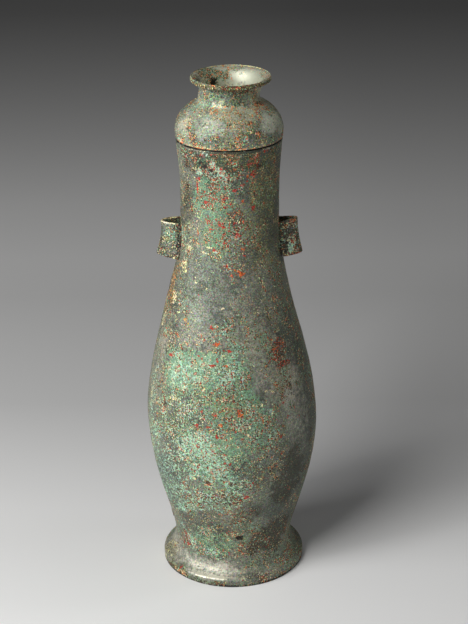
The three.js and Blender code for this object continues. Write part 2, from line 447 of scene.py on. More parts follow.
jarMarks = {
    "bare": [
        (-21, -50, 306, 24, 32, 0.45), (24, -72, 219, 13, 16, 0.3), (66, -50, 158, 23, 63, 0.3),
        (-66, -41, 107, 22, 36, 0.28), (-63, -16, 12, 24, 15, 0.3), (38, -62, 88, 20, 25, 0.25),
        (0, 0, 441.8, 200, 0.9, 0.3), (-27, -58, 13, 30, 11, 0.7), (38, -30, 372, 14, 40, 0.1),
    ],
    # rubbed metal, and painted highlights: the broad glow on the foot's brim (-27, -59, 13 and 26, -58, 12) and the
    # glints along the mouth's rounded edge (441.8) and the ridge of the foot's lip (9.2)
    "wearAndHighlight": [
        (-41, -22, 373, 10, 13, 0.2), (-61, -25, 259, 15, 27, 0.4), (25, -60, 262, 15, 17, 0.25),
        (5, -53, 313, 18, 27, 0.14), (-8, -60, 282, 35, 17, 0.22), (-16, -65, 256, 44, 17, 0.3),
        (31, -47, 298, 28, 46, 0.16), (42, -61, 226, 33, 34, 0.36), (-69, -30, 222, 22, 36, 0.3),
        (63, -52, 181, 24, 57, 0.3), (-61, -15, 16, 27, 20, 0.55), (-8, -59, 22, 20, 8, 0.2),
        (-27, -59, 13, 34, 12, 0.5), (26, -58, 12, 26, 6, 0.3), (-25, -40, 441.8, 30, 0.9, 1),
        (36, -34, 441.8, 9, 0.9, 0.8), (-24, -65, 9.2, 24, 1.3, 1),
    ],
    # grime, and painted shade: the band under the lid's edge (-1, -49.6, 444.3) and the ring at 443 in the gap under
    # the lid, the darker right side of the belly and lower body (78, -25, 140; 54, -57, 115; 41, -45, 46) and the
    # lines where the lugs meet the neck (±50, -13, 345)
    "grimeAndShade": [
        (-14, -44, 413, 12, 14, 0.25), (-21.1, -42.9, 426.9, 7.6, 3.2, 0.9), (-36, -32, 431, 13, 13, 0.5),
        (10, -48, 436, 26, 10, 0.5), (26.6, -39.7, 426.8, 5.8, 5.2, 0.7), (5, -46, 378, 8, 15, 0.7),
        (-39, -26, 406, 9, 32, 0.5), (-1, -49.6, 444.3, 42.7, 4.7, 0.9), (4, -48, 433, 8, 8, 1.1),
        (-29.5, -35.6, 372.1, 5, 7.4, 0.35), (-2, -46, 383, 8, 10, 0.25), (-32, -40, 316, 16, 27, 0.3),
        (42, -39, 295, 14, 34, 0.15), (-45, -58, 228, 27, 19, -0.25), (-21, -81, 162, 18, 19, -0.15),
        (78, -25, 140, 17, 63, 0.4), (-24, -72, 102, 41, 14, 0.35), (-7, -76, 104, 10, 7, 0.45),
        (7, -79.3, 119, 10.7, 5.2, 0.35), (36, -72, 128, 9, 10, 0.3), (16, -69, 82, 18, 17, 0.55),
        (24.1, -66, 6.3, 16.5, 5.2, 0.8), (18, -55, 30, 10, 10, 0.35), (54, -57, 115, 21, 36, 0.85),
        (41, -45, 46, 24, 21, 1.3), (-50, -13, 345, 4, 26, 0.6), (50, -13, 345, 4, 26, 0.6), (0, 0, 443, 200, 2, 0.3),
    ],
    "green": [
        (-16, -43, 391, 18, 48, 0.8), (-13, -46, 432, 13, 8, 0.3), (-18, -43, 421, 15, 15, 0.25),
        (-35, -34, 431, 14, 13, 0.3), (8, -48, 435, 37, 13, 0.45), (30, -35, 388, 23, 55, 0.1),
        (-3, -70, 244, 23, 17, 0.45), (-43, -59, 231, 29, 21, 1.15), (-24, -66, 244, 13, 10, 0.7),
        (-16, -71, 228, 18, 10, 0.3), (29, -61, 252, 13, 13, 0.1), (8, -81, 185, 29, 42, 0.5),
        (23, -75, 203, 18, 27, 0.2), (-15, -78, 203, 22, 12, 0.3), (-53, -62, 182, 26, 36, 0.35),
        (-25, -79, 152, 33, 27, 0.6), (-18, -78, 123, 28, 23, 0.4), (-51, -64, 131, 30, 34, -0.25),
        (-15, -58, 44, 30, 15, 0.45), (0, 0, 4, 200, 2.5, 0.15), (-42, -57, 4, 34, 4.5, 0.6),
    ],
    "deepGreen": [
        (-18, -44, 423, 14, 14, 0.4), (-35, -34, 431, 14, 13, 0.9), (8, -48, 435, 39, 14, 0.6),
        (4, -81, 193, 19, 25, 0.15),
    ],
    "mint": [
        (-22.7, -43.9, 439.9, 3.8, 2.6, 0.6), (-14.7, -45.5, 430.9, 3.6, 3.2, 0.6),
        (-7.6, -46.4, 423.6, 3.4, 4.2, 0.6), (-27.6, -38.7, 421.3, 4.2, 4.2, 0.5), (10, -48, 435, 24, 10, -0.12),
        (-13.7, -45.4, 346.1, 3, 1.1, 0.8), (-4, -50, 329, 8, 6, 0.4), (-16.6, -46.7, 327.8, 2.7, 2.7, 0.7),
        (-3, -69, 247, 23, 17, 0.2), (-47, -56, 231, 22, 16, 0.4), (-43, -61, 225, 10, 7, -0.15),
        (-26, -64, 244, 9, 7, 0.3), (-20, -71, 229, 16, 8, 0.2), (37.4, -71.4, 194.3, 2.2, 2.7, 0.7),
        (17, -79, 195, 18, 27, 0.12), (-52, -64, 178, 25, 36, 0.16), (-51, -62, 192, 28, 16, 0.16),
        (-44, -70, 154, 9, 8, 0.15), (-33, -76, 152, 30, 21, 0.24), (-21, -81, 162, 18, 17, 0.14),
        (-2, -82, 138, 18, 12, 0.2), (-14.5, -79, 127.3, 3.9, 0.9, 0.9), (-50.3, -48.8, 78, 6.3, 4.2, 0.6),
        (-50, -38, 53, 7, 7, 0.5), (-42, -41, 39, 8, 6, 0.6), (-27, -55, 50, 24, 15, 0.15),
        (-47, -35, 32, 10, 8, 0.15), (-21.3, -54.5, 30.9, 10.4, 4.2, 0.3), (-11.5, -57.7, 23.5, 5.9, 3.2, 0.3),
    ],
    "vein": [
        (-78, -27, 175, 12, 63, 0.6), (-68, -39, 111, 27, 44, 0.7), (-20, -75, 110, 42, 32, 0.35),
    ],
    "olive": [
        (8, -48, 437, 24, 8, 0.2), (-39, -24, 394, 8, 36, 0.3), (32, -34, 387, 21, 55, 0.3),
        (48, -58, 225, 13, 8, 0.2), (-6, -78, 206, 18, 13, 0.25), (-55, -60, 189, 24, 21, 0.3),
        (8, -79, 196, 6, 6, 0.4), (-19, -81, 157, 16, 10, 0.2), (-65, -16, 10, 19, 16, 0.5),
        (-65, -13, 11, 15, 13, 0.15), (-42, -57, 4, 34, 4.5, 0.7), (32, -34, 385, 22, 60, 0.15),
        (38, -42, 320, 26, 30, 0.1), (0, -60, 90, 50, 24, 0.1),
    ],
    "brownAndShade": [
        (-16, -43, 391, 17, 46, -0.08), (-23, -41.6, 422.2, 2.8, 1.3, 0.7), (-16.7, -44.3, 418.3, 3.1, 1.2, 0.9),
        (26.6, -39.7, 426.8, 3.5, 3.2, 0.8), (-41, -22, 387, 8, 32, 0.1), (-39, -25, 403, 7, 25, 0.1),
        (-52.5, -5.4, 315, 3.9, 8.4, 0.6), (-59.5, -2, 287, 3.9, 14.7, 0.5), (-52, -17, 306, 6, 7, 0.3),
        (10.1, -48.8, 325.1, 2, 2.1, 0.7), (-45, -58, 228, 24, 17, -0.16), (-50.6, -46.5, 248.2, 2.9, 1.6, 1),
        (-48, -51.7, 241.1, 3.4, 1.7, 1.1), (-35.9, -60.5, 240.9, 2.9, 2.1, 1), (-48.9, -55.8, 226.2, 1.9, 2.5, 0.9),
        (-13.3, -63.8, 261.4, 1.7, 1.6, 1), (46, -50, 253, 7, 14, 0.6), (50.7, -50.9, 235.2, 12.3, 3.6, 0.4),
        (52, -58, 208, 13, 6, 0.25), (70.4, -43.6, 175.3, 2.2, 2.1, 0.9), (-52, -64, 178, 25, 36, 0.1),
        (-55, -60, 189, 21, 17, 0.18), (-63.8, -49.4, 192.5, 3.8, 3.2, 0.9), (7.6, -79.2, 196.5, 4.5, 4.8, 0.7),
        (-21, -81, 162, 16, 17, -0.14), (-31, -77, 152, 29, 19, 0.08), (-17, -74, 103, 24, 15, 0.25),
        (-24.2, -76.3, 121, 3.1, 2.3, 0.8), (11.9, -81.8, 146.6, 1.8, 1.7, 0.9), (16, -69, 84, 16, 6, 0.2),
        (-46, -37, 41, 8, 13, 0.3), (-65, -17, 10, 17, 16, 0.45), (17, -56, 31, 9, 8, 0.4),
        (-13.1, -61.3, 14.8, 1.4, 1.4, 0.8), (0, 0, 3, 200, 2.2, 0.2), (-42, -57, 4, 34, 4.5, 0.75),
        (16, -56, 34, 10, 12, 0.3),
    ],
    # cream flecks, and painted highlights: the glints along the mouth's rounded edge (441.8) and along the ridge of
    # the foot's lip (9.2)
    "creamAndHighlight": [
        (10, -48, 435, 40, 13, -0.1), (-7.4, -48.3, 439.7, 4.4, 1.7, 0.4), (6, -46, 397, 33, 50, -0.08),
        (-19.1, -42.9, 349.4, 3, 1.1, 1), (-24.8, -40.7, 344.4, 3.9, 1.2, 0.8), (-37.8, -28.6, 344.9, 5.5, 3.2, 0.45),
        (7.4, -45.3, 374.8, 1.4, 1.3, 0.8), (-38, -27, 410, 8, 32, -0.12), (-45.8, -9.2, 354.9, 2.9, 16.8, 0.25),
        (-40, -23, 352, 12, 16, 0.16), (-45, -24, 326, 6, 7, 0.5), (-52, -25, 294, 7, 10, 0.45),
        (-64, -12, 266, 7, 10, 0.5), (-31.5, -41.7, 313.8, 1.9, 1.9, 1.1), (-32.2, -40.5, 319.1, 1.2, 1.1, 0.9),
        (-20.4, -47.4, 320.9, 1.2, 1.4, 1), (-22.2, -48.7, 310, 1.6, 1.6, 1.1), (-6.9, -56.5, 294.2, 1.8, 1.6, 1.1),
        (-42.5, -40.1, 289.2, 1.8, 2.3, 1), (-29.3, -51.4, 285.7, 1.1, 1.2, 1), (-47.9, -36.3, 282.9, 3.2, 1.2, 0.8),
        (-2, -55, 306, 10, 15, 0.1), (-54, -38, 258, 15, 7, 0.2), (-35.9, -60.4, 241.1, 1.4, 0.8, 1),
        (32.2, -69.2, 215.1, 1.3, 1.9, 1), (38.7, -67, 212.6, 1.3, 1.9, 0.9), (28.4, -73.5, 202.3, 1.5, 1.3, 0.9),
        (24, -75, 201.2, 1.2, 1.3, 0.9), (16.9, -79.9, 181.9, 1.2, 1.3, 0.9), (15.2, -80.8, 174.7, 1.2, 1.3, 0.9),
        (-54, -58, 203, 8, 3.2, 0.4), (-13.8, -80.7, 180.1, 2, 2.3, 0.5), (-78, -25, 180, 6, 58, 0.25),
        (-37.2, -71, 123.3, 1.3, 1.3, 1.1), (-37.8, -72.7, 139.8, 2, 1.2, 1), (7.9, -78.6, 118.1, 2.5, 1.1, 0.8),
        (-66, -13, 9, 15, 16, 0.5), (-65, -13, 11, 15, 13, 0.1), (38, -49, 52, 20, 19, -0.06),
        (-25, -40, 441.8, 34, 0.8, 0.5), (36, -34, 441.8, 9, 0.8, 0.4), (-24, -65, 9.2, 22, 0.9, 0.7),
        (-42, -57, 4.5, 32, 4, 0.45), (-76, -28, 190, 10, 60, 0.08),
    ],
    "tan": [
        (-41, -25, 424, 8, 15, 0.12), (-51, -14, 314, 11, 13, 0.5), (-56, -13, 294, 11, 14, 0.55),
        (-62, -5, 276, 8, 10, 0.45), (-42, -44.6, 278.6, 2.7, 1.7, 0.9), (-38.9, -48.3, 275, 1.9, 2.1, 0.9),
        (-0.4, -49.5, 328.7, 5.8, 4.2, 0.3), (48, -58, 225, 11, 7, 0.2), (-28.1, -77, 178.4, 4.1, 2.5, 0.5),
        (55, -26, 20, 12, 10, 0.12),
    ],
    "orange": [
        (4.6, -47.2, 427, 1.2, 3.2, 0.8), (15.9, -44.5, 418, 1.4, 1.3, 1), (11.7, -44.3, 395.2, 1.2, 2.5, 0.9),
        (12.1, -45.5, 348.6, 2, 2.1, 0.8), (-29.2, -35.8, 361.3, 1, 4.2, 0.9), (-38, -26, 400, 9, 29, 0.1),
        (-26.5, -45.3, 312.9, 1.6, 2.3, 0.9), (10.1, -48.8, 325.1, 3, 3.2, 0.8), (0, -49, 329, 8, 6, 0.5),
        (-3, -71, 240, 25, 17, -0.06), (-54, -38, 258, 15, 7, 0.12), (-5.3, -70, 241.4, 1.5, 2.1, 1),
        (-12.9, -63.6, 261.9, 3, 2.9, 1), (46, -49, 254, 7, 14, 0.3), (49.7, -51.8, 235.6, 12.1, 3.2, 0.12),
        (29, -76, 186.1, 0.9, 3.2, 0.8), (-19, -77, 202, 26, 15, -0.07), (-63.1, -51, 191.2, 6.2, 4.2, 0.1),
        (-10.4, -80.9, 184.7, 1.8, 1.9, 1), (7.6, -79.2, 196.5, 4.5, 4.8, 0.55), (-25.2, -75.3, 118.2, 3.1, 1.1, 0.6),
        (53, -33, 16, 11, 10, 0.16), (-4.3, -60.9, 49.4, 1.2, 1.5, 0.6), (-30.6, -57.6, 10.9, 1.6, 1.3, 0.8),
        (-40.7, -50.4, 12.4, 1.5, 1.9, 0.8), (6.8, -64.2, 13.1, 0.9, 1.9, 0.7), (0, 0, 3, 200, 2.5, 0.1),
        (-42, -57, 4.5, 32, 4, 0.15),
    ],
    "red": [
        (-14, -44, 391, 14, 44, 0.1), (-24.6, -42.3, 438.5, 3.4, 1.9, 0.5), (-13.9, -46, 427.3, 1.8, 3.2, 0.45),
        (-7.6, -47, 424.7, 2.4, 4.2, 0.4), (-29.2, -36, 407.1, 1.1, 7.4, 1), (-27.5, -38.2, 414.7, 1.7, 1.5, 0.8),
        (33.3, -36, 440.6, 4, 2.1, 0.6), (26.9, -40.3, 435.5, 7, 5.2, 0.35), (21.4, -41.8, 421.8, 2.2, 3.2, 0.6),
        (17.8, -44.3, 431.2, 3.7, 3.2, 0.4), (15.9, -43.8, 414.3, 1.5, 1.4, 1), (11.8, -45.3, 410.7, 2, 1.5, 0.9),
        (4.9, -46.1, 406.3, 2.9, 1.5, 1), (-13.7, -44.3, 397.6, 1.3, 1.2, 0.9), (-21.5, -40.7, 393.3, 1.6, 1.6, 0.9),
        (-5.6, -45.3, 398, 1.5, 1.3, 0.8), (-20.8, -41.1, 377.1, 2.8, 5.2, 0.45), (-7.3, -45.1, 372.7, 2.9, 2.1, 0.5),
        (4.2, -45.6, 374.1, 1.9, 1.5, 0.9), (-16.8, -42.7, 368, 4.2, 1.6, 0.5), (21.1, -41.1, 387.3, 2, 2.5, 0.9),
        (7.7, -45, 362.5, 3.3, 2.1, 0.5), (-4.1, -45.6, 356, 3.3, 3.2, 0.35), (-15.1, -44.7, 347.9, 1.4, 2.5, 0.9),
        (13.3, -45.3, 341.3, 1.8, 1.3, 0.8), (-12.7, -44, 377.8, 1.4, 2.5, 0.6), (-29, -46.6, 304.8, 1.6, 1.4, 0.9),
        (-32.7, -50.3, 283.1, 1.4, 1.4, 0.8), (-17.8, -58.7, 275.9, 1.8, 1.9, 1), (-3.2, -48.8, 330.4, 5.8, 4.2, 0.4),
        (3.3, -51.6, 316, 1.2, 1.7, 0.9), (3.5, -54.7, 303.5, 1.4, 1.2, 0.8), (3.8, -56.9, 293.1, 1.9, 1.1, 0.8),
        (-3, -71, 240, 25, 17, -0.08), (-56.5, -41.9, 241.1, 3.3, 1.4, 0.9), (-30.5, -61.8, 248, 1.6, 1.6, 1),
        (-27.9, -63.5, 246.6, 2.1, 1.2, 0.9), (-19.3, -66.9, 246.3, 1, 2.5, 0.9), (-18.1, -67.9, 241.3, 4, 0.9, 0.9),
        (-12.8, -68, 246.3, 1.5, 2.5, 1), (-2.5, -66.5, 254.9, 2.5, 1.6, 1), (-7.1, -66.1, 255.8, 1.2, 1.3, 1),
        (-48.1, -53.6, 234, 1.7, 1.4, 0.9), (-33.7, -64.4, 231.6, 1.3, 1.5, 0.8), (46, -49, 254, 7, 14, 0.2),
        (50.7, -50.9, 235.2, 12.3, 3.2, 0.3), (53.4, -61.8, 183.6, 2.6, 1.7, 0.9), (63.9, -51.8, 179, 2.3, 2.1, 0.8),
        (60.2, -53.9, 189.5, 1.7, 2.1, 0.7), (48.7, -62.9, 199, 1.6, 1.4, 0.8), (45.6, -69.1, 166.3, 1.7, 2.7, 0.8),
        (-33, -75.3, 182.4, 1.7, 2.5, 1), (-15.3, -78.8, 194.7, 1.4, 1.5, 1), (-22.7, -78.7, 182.2, 2.6, 1.5, 0.9),
        (-14.5, -81.7, 172.6, 1.7, 2.3, 0.9), (-5.3, -82.4, 170.9, 1.1, 2.1, 1), (-1, -82.4, 173.5, 1.5, 1.6, 1),
        (9.3, -82.3, 171.1, 1.5, 2, 1), (3, -82.5, 178.3, 1.9, 1.5, 0.8), (-17.4, -81.4, 155.3, 1.4, 1.5, 0.9),
        (-28.5, -74.8, 196.6, 1.3, 1.3, 0.9), (12.7, -75.5, 104.8, 3, 2.3, 1.2), (-2.3, -82.6, 144.7, 1.4, 1.3, 0.9),
        (-7.1, -82.3, 145.3, 1.2, 1.2, 0.8), (-15.5, -79.4, 131.7, 1.4, 1.2, 0.9), (19.3, -77.5, 120.7, 1.5, 1.4, 0.9),
        (-15.5, -75.6, 107, 1.9, 1.3, 0.9), (-48, -35, 42, 8, 15, 0.28), (-44.6, -37.1, 31, 3, 1.5, 0.6),
        (-50.1, -37.5, 53.3, 2.3, 1.7, 0.7), (-4.4, -57.8, 31, 1.4, 1.3, 0.9), (-6.5, -63.8, 58, 1.2, 1.7, 0.8),
        (-52.5, -44.7, 8, 2.1, 1.2, 0.9), (-24, -66, 4.5, 26, 2, 0.25),
    ],
    # black flecks, and painted shadow: the ring in the gap under the lid (443.7), the lines where the lugs meet the
    # neck (±48, -13, 345) and the line along the foot's lower edge against the floor (0.9)
    "blackAndShadow": [
        (-26.1, -40.1, 430.8, 3.2, 1.6, 0.9), (-21.6, -42.5, 427.7, 3, 1.6, 0.95),
        (-17.1, -43.9, 424.3, 2.9, 1.6, 0.95), (-13.1, -45.5, 420.5, 2.6, 1.4, 0.9), (-36, -32, 430, 15, 15, 0.22),
        (-37, -27, 405, 10, 27, 0.1), (-39, -24, 399, 6, 27, 0.4), (-45, -58, 228, 24, 17, -0.06),
        (46, -50.1, 252.5, 5.3, 12.6, 0.1), (-78, -26, 180, 7, 58, 0.16), (38, -49, 52, 17, 17, 0.08),
        (0, 0, 443.7, 200, 1, 1.3), (-48, -13, 345, 3, 24, 0.5), (48, -13, 345, 3, 24, 0.5),
        (0, 0, 0.9, 200, 1.3, 0.7), (-76, -28, 190, 8, 60, 0.15),
    ],
}


def jarRadius(height):
    outline = jarShape["outline"]
    index = 0
    while index < len(outline) - 2 and height > outline[index + 1][0]:
        index += 1
    z0, r0, slope0 = outline[index]
    z1, r1, slope1 = outline[index + 1]
    span = z1 - z0
    t = (height - z0) / span
    blend = t * t * (3 - 2 * t)
    return r0 + (r1 - r0) * blend + span * (slope0 * t * (1 - t) ** 2 + slope1 * t * t * (t - 1))


def leanAt(height):
    # how far the real jar's centre line strays sideways
    stations = jarShape["lean"]
    for (z0, x0), (z1, x1) in zip(stations, stations[1:]):
        if z0 <= height <= z1:
            t = (height - z0) / (z1 - z0)
            return x0 + (x1 - x0) * t * t * (3 - 2 * t)
    return 0.0


def buildJar(s):
    waist = jarRadius(s["floorTop"])
    foot, lip, bottom = s["footRadius"], s["lipHeight"], s["floorBottom"]
    width, rise = s["brimWidth"], s["brimRise"]
    fall = bottom - lip
    start = (foot - width, lip + rise)
    brim = bezier((foot, lip), (foot, lip + rise * 0.5), (start[0] + width * 0.55, start[1] - rise * 0.4), start, 8)
    flare = bezier(start, (start[0] - width, start[1] + rise * 0.7), (waist, bottom - fall * 0.5), (waist, bottom),
                   s["footRings"])
    top = s["outline"][-1][0]
    bend = s["mouthRound"]
    edgeIn, edgeDown = s["mouthEdge"]
    body = [(jarRadius(z), z) for z in evenly(s["floorTop"], top - edgeDown, s["bodyRings"])]
    mouth = jarRadius(top)
    edge = bezier(body[-1], (mouth, top - edgeDown * 0.5), (mouth - edgeIn * 0.5, top), (mouth - edgeIn, top), 7)[1:]
    edge += arc((mouth - s["wall"] + bend, top - bend), bend, bend, 90, 160, 4)
    inside = [(jarRadius(z) - s["wall"], z) for z in evenly(top - bend, s["floorTop"], s["insideRings"])]
    lipEdge = placed(s["lipEdge"], foot, 0)
    upwards = lipEdge + brim + flare[1:] + body + edge + inside + flatFace(waist - s["wall"], s["floorTop"])
    lipInside = foot - s["lipThickness"]
    hollowTop = waist - s["footWall"]
    hollow = bezier((lipInside, lip), (lipInside - width, lip + rise * 0.7), (hollowTop, bottom - fall * 0.6),
                    (hollowTop, bottom), s["footRings"])
    inwards = upwards[:1] + placed(s["lipInside"], lipInside, 0) + hollow + flatFace(hollowTop, bottom)
    piece = turnPiece("jarBody", upwards, inwards, s["corners"])

    def free(p):
        # still where the foot stands and the lid sits
        return min(p.z / 4.0, 0.15 + (top - p.z) / 6.0)

    unevenCasting(piece, *s["wideCasting"], weighted(piece, "free", free))
    lively = weighted(piece, "lively", lambda p: min(free(p), 0.3 + max(0.0, p.z - 20) / 40))   # calmer on the foot
    unevenCasting(piece, *s["fineCasting"], lively)
    applyAll(piece)
    for vertex in piece.data.vertices:
        vertex.co.x += leanAt(vertex.co.z / mm) * mm
    hole = s["spacerHole"]
    for i in range(4):
        turn = math.radians(s["spacerTurn"] + 90 * i)
        reach = jarRadius(s["spacerHeight"]) - s["wall"] / 2
        centre = (reach * math.sin(turn), -reach * math.cos(turn), s["spacerHeight"])
        cutBlock(piece, centre, (hole, s["spacerCut"], hole), turn)
    for i in range(3):
        turn = 2 * math.pi * (i + 0.5) / 3
        centre = (s["floorSpacerCircle"] * math.cos(turn), s["floorSpacerCircle"] * math.sin(turn),
                  (s["floorTop"] + s["floorBottom"]) / 2)
        cutBlock(piece, centre, (hole, hole, s["spacerCut"]), turn)
    smooth(piece, roundAngle)
    return piece


print("building the jar")
jar = buildJar(jarShape)
setMaterial(jar, bronzePatina("jarPatina", jarMarks))
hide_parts("jar_wall", "jar_floor", "ring_foot")
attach(jar, "jar")


# Lid: dome, tenon and crown as one closed skin that starts at the tenon's lower edge
lidShape = {
    "corners": 160,
    "bottom": 444.0,
    "bottomRadius": 49.9,
    "bottomRound": 0.8,
    "skirt": 7.0,
    "rise": 27.0,
    "endAngle": 72.0,
    "sideRadius": 50.3,
    "wall": 3.0,
    "tenonRadius": 44.9,
    "tenonWall": 2.4,
    "tenonDepth": 14.0,
    "crownRadius": 28.4,
    "crownHeight": 23.0,
    "rimRadius": 37.1,
    "rimThickness": 4.2,
    "rimEdge": 1.2,
    "crownWall": 2.8,
    "crownStraight": 8.0,
    "crownShift": 2.0,
    "crownTilt": 1.1,
    "collar": [(0.7, 0.5), (0, 2), (-0.1, 5)],   # millimetres out and up, at the foot of the crown
    "rim": [(-0.5, -4.2), (0, -3.6), (0, -2), (-0.3, -0.6), (-0.9, 0)],
    "cupEdge": [(0, 2), (-1, 0.5), (-3, 0)],
    "flatRings": (15, 8),
    "wideCasting": (22, 0.6),
    "fineCasting": (7, 0.15),
}

lidMarks = {
    "bare": [
        (-20, -42, 464, 16, 8, 0.45), (41, -23, 463, 16, 8, 0.35), (15, 12, 492, 15, 15, 0.4),
    ],
    # rubbed metal, and painted highlights: the glows on the dome where the lamps reflect (-18, -42, 464; 41, -23, 463;
    # -44.1, -20.1, 460.3), the broad glow inside the crown's cup (15, 12, 493; 28, 7, 496; -12, 20, 494) and the glint
    # along the rim's top edge (501.4)
    "wearAndHighlight": [
        (3, -44, 468, 19, 13, 0.1), (-18, -42, 464, 19, 10, 0.18), (-3, -34, 475, 41, 8, 0.4),
        (10, -32, 475, 22, 6, 0.3), (12, -44, 466, 12, 8, 0.35), (-42, -21, 463, 17, 10, 0.4),
        (-11.4, -25.7, 483, 9.6, 5.2, -0.45), (-27, -8, 478, 12, 6, 0.4), (27, -9, 478, 15, 6, 0.4),
        (41, -23, 463, 18, 10, 0.7), (-44.1, -20.1, 460.3, 4.7, 4.2, 0.9), (15, 12, 493, 17, 16, 0.8),
        (28, 7, 496, 22, 18, 0.7), (-12, 20, 494, 24, 18, 1), (2, 0, 501.4, 200, 1, 0.7),
    ],
    "grimeAndShade": [
        (7, -27, 487, 16, 8, 0.45), (-3.6, -49.7, 451.8, 42.8, 5.2, 0.35), (-33, -37, 452, 14, 6, 0.35),
        (4.4, -49.3, 455.3, 21.4, 4.2, 0.2), (2, -36, 498, 50, 2.6, 0.95),
    ],
    "green": [
        (-3, -27, 487, 23, 8, 0.25), (-22, -19, 478, 23, 8, 0.2), (10, -40, 470, 24, 13, 0.12),
        (2, -36, 498, 50, 3, 0.2), (-14, 18, 494, 20, 16, 0.3),
    ],
    "deepGreen": [
        (-31.2, -31.3, 467.3, 2.1, 1.1, 0.9), (2.7, -49.3, 455.3, 23.3, 4.2, 0.3),
    ],
    "mint": [
        (-26.1, -16.3, 477.1, 5.5, 1.6, 0.7), (-5.2, -31.8, 476.3, 2.9, 1.3, 0.5), (14.3, -47.8, 453.8, 3, 1.4, 0.8),
        (15.6, -46.8, 456.3, 1.4, 1.3, 0.8), (-44.8, -22.4, 447.1, 5.2, 1.7, 0.8), (-1, -33, 476, 37, 7, 0.16),
        (-3, -28, 486, 22, 7, -0.14), (-26, -26, 474, 19, 8, 0.2), (30, -24, 473, 21, 8, 0.1),
        (25, 10, 499, 24, 5, 0.25), (20, 10, 493, 14, 10, 0.1), (10, -46, 452, 40, 6, 0.1),
    ],
    "olive": [
        (3, -44, 468, 23, 14, 0.25), (-35, -34, 459, 14, 10, 0.2), (6, -46, 460, 34, 14, 0.15),
        (2, -36, 498, 50, 3, 0.5),
    ],
    # brown, and painted shade: under the crown's rim (-2.3, -31.5, 495 and 4, -30, 493, partly drips) and on the
    # shaded left inside the cup (-24, 4, 497)
    "brownAndShade": [
        (-2.3, -31.5, 495, 23.3, 1.5, 0.5), (8.5, -27.2, 492.4, 3, 0.8, 0.9), (15.7, -24.8, 492.9, 2.3, 0.9, 0.8),
        (26.6, -12.8, 477.5, 8.9, 1.6, 0.5), (16.2, -40.6, 468.3, 4.2, 4.2, 0.12), (27.4, -40.6, 458, 5.9, 4.2, 0.4),
        (-36.3, -27.7, 465.5, 1.4, 1.6, 1.1), (-26.4, -36.2, 465.9, 1.8, 0.9, 0.9), (4, -30, 493, 26, 2, 0.4),
        (-24, 4, 497, 8, 6, 0.35), (2, -36, 498, 50, 2.6, 0.4),
    ],
    # cream flecks, and a painted highlight: the glint along the crown rim's top edge (501.6)
    "creamAndHighlight": [
        (6.8, -42.7, 468.6, 5.9, 3.2, 0.2), (19.8, -43.4, 461.7, 2.6, 3.2, 0.3), (3, -34, 475, 33, 7, 0.14),
        (-3, -28, 486, 22, 7, -0.14), (0, 0, 445.4, 200, 1, 0.2), (2, 0, 501.6, 200, 0.9, 0.4),
        (20, 10, 493, 14, 10, 0.15),
    ],
    "tan": [
        (0, 0, 445.2, 200, 1, 0.35),
    ],
    "orange": [
        (30.2, -13.5, 475.9, 16.6, 3.2, 0.2), (16.2, -41.1, 467.1, 5.2, 5.2, 0.2),
        (29.3, -32.2, 467.7, 3.9, 2.5, 0.25), (-3.4, -30.5, 476.8, 15.6, 2.5, 0.14), (6, -34, 475, 28, 6, 0.1),
        (-3, -28, 486, 22, 7, -0.18), (8, 28, 500, 40, 3, 0.12), (-4, 20, 494, 14, 10, 0.05),
        (32, 0, 496, 12, 12, 0.1), (0, 0, 445.2, 200, 1, 0.2), (2, -36, 498, 50, 2.4, -0.1),
    ],
    "red": [
        (26, -41.7, 457.9, 3.4, 3.2, 0.12),
    ],
    # pits, and painted shade: deep in the crown's cup (-15, 22, 490) and the ring in the gap under the lid's edge
    # (443.9)
    "blackAndShadow": [
        (-22.3, -19.3, 493, 1.2, 0.8, 1.2), (-15.8, -24.8, 492.9, 1.4, 0.9, 1), (-10.7, -26.9, 493, 1.3, 0.8, 0.9),
        (-0.5, -29.9, 493.7, 1.2, 0.8, 0.9), (-35, -25, 468, 16, 7, 0.08), (-25, -42.2, 456.8, 0.9, 0.8, 1.2),
        (-15, 22, 490, 4, 4, 1), (0, 0, 443.9, 200, 0.6, 1.3),
    ],
}


